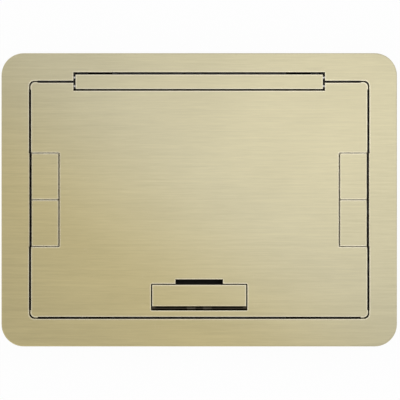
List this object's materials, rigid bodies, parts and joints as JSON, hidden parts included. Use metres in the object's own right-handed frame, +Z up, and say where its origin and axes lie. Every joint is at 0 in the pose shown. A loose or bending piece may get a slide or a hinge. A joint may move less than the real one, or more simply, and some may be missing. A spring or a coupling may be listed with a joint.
{
  "type": "floor box cover",
  "caption": "Rectangular floor box cover: brushed trim flange, flush hinged lid on a double-pivot bar, sprung cable flaps at both sides and a sprung lift handle.",
  "frame": {"origin": "centre of the collar's lower edge, on the surface the cover stands on", "axes": "+Z up through the lid, +Y towards the hinge bar, +X to the right when the hinge is at the rear"},
  "size_m": [0.356, 0.264, 0.036],
  "materials": {
    "brushed_brass_tone": "brushed along the length, pale brass tone anodising",
    "black_powder_coat": "fine-texture black powder coat on steel sheet",
    "black_rubber": "matt black rubber",
    "black_plastic": "matt black moulded plastic",
    "zinc_screw": "bright zinc plate",
    "bright_pin_steel": "ground steel",
    "dark_pin_steel": "blackened steel",
    "spring_steel": "drawn spring wire"
  },
  "bodies": {
    "frame": {"flange_frame": "brushed_brass_tone", "collar": "black_powder_coat", "floor_gasket": "black_rubber", "collar_screws": "zinc_screw", "corner_seat_left": "black_powder_coat", "lid_pad_left": "black_rubber", "frame_pin_left": "bright_pin_steel", "corner_seat_right": "black_powder_coat", "lid_pad_right": "black_rubber", "frame_pin_right": "bright_pin_steel"},
    "hinge_bar": {"hinge_bar": "brushed_brass_tone"},
    "lid": {"lid_plate": "brushed_brass_tone", "stiffener_tray": "black_powder_coat", "tray_screws": "zinc_screw", "handle_pin": "dark_pin_steel", "handle_spring": "spring_steel", "handle_pocket": "black_plastic", "pocket_screws": "zinc_screw", "lid_pin_left": "bright_pin_steel", "flap_bracket_left": "black_powder_coat", "flap_pin_left": "bright_pin_steel", "bracket_screws_left": "zinc_screw", "lid_pin_right": "bright_pin_steel", "flap_bracket_right": "black_powder_coat", "flap_pin_right": "bright_pin_steel", "bracket_screws_right": "zinc_screw", "flap_spring_left_front": "spring_steel", "flap_spring_left_rear": "spring_steel", "flap_spring_right_front": "spring_steel", "flap_spring_right_rear": "spring_steel"},
    "lift_handle": {"lift_handle": "brushed_brass_tone"},
    "flap_left_front": {"cable_flap_left_front": "brushed_brass_tone", "flap_leaf_left_front": "black_powder_coat", "flap_rivets_left_front": "zinc_screw"},
    "flap_left_rear": {"cable_flap_left_rear": "brushed_brass_tone", "flap_leaf_left_rear": "black_powder_coat", "flap_rivets_left_rear": "zinc_screw"},
    "flap_right_front": {"cable_flap_right_front": "brushed_brass_tone", "flap_leaf_right_front": "black_powder_coat", "flap_rivets_right_front": "zinc_screw"},
    "flap_right_rear": {"cable_flap_right_rear": "brushed_brass_tone", "flap_leaf_right_rear": "black_powder_coat", "flap_rivets_right_rear": "zinc_screw"}
  },
  "joints": [
    {"name": "hinge_bar_pivot", "type": "hinge", "parent": "frame", "child": "hinge_bar", "pos_m": [0, 0.11015, 0.0335], "axis": [-1, 0, 0], "range_deg": [0, 90]},
    {"name": "lid_pivot", "type": "hinge", "parent": "hinge_bar", "child": "lid", "pos_m": [0, 0.10235, 0.0335], "axis": [-1, 0, 0], "range_deg": [0, 90]},
    {"name": "handle_lift", "type": "hinge", "parent": "lid", "child": "lift_handle", "pos_m": [0, -0.09775, 0.0335], "axis": [1, 0, 0], "range_deg": [0, 70], "stiffness_Nm_per_rad": 0.02, "springref_deg": -34.38, "deforming": ["handle_spring"]},
    {"name": "flap_hinge_left_front", "type": "hinge", "parent": "lid", "child": "flap_left_front", "pos_m": [-0.1262, 0, 0.0284], "axis": [0, -1, 0], "range_deg": [0, 90], "stiffness_Nm_per_rad": 0.03, "springref_deg": -34.38, "deforming": ["flap_spring_left_front"]},
    {"name": "flap_hinge_left_rear", "type": "hinge", "parent": "lid", "child": "flap_left_rear", "pos_m": [-0.1262, 0, 0.0284], "axis": [0, -1, 0], "range_deg": [0, 90], "stiffness_Nm_per_rad": 0.03, "springref_deg": -34.38, "deforming": ["flap_spring_left_rear"]},
    {"name": "flap_hinge_right_front", "type": "hinge", "parent": "lid", "child": "flap_right_front", "pos_m": [0.1262, 0, 0.0284], "axis": [0, 1, 0], "range_deg": [0, 90], "stiffness_Nm_per_rad": 0.03, "springref_deg": -34.38, "deforming": ["flap_spring_right_front"]},
    {"name": "flap_hinge_right_rear", "type": "hinge", "parent": "lid", "child": "flap_right_rear", "pos_m": [0.1262, 0, 0.0284], "axis": [0, 1, 0], "range_deg": [0, 90], "stiffness_Nm_per_rad": 0.03, "springref_deg": -34.38, "deforming": ["flap_spring_right_rear"]}
  ]
}
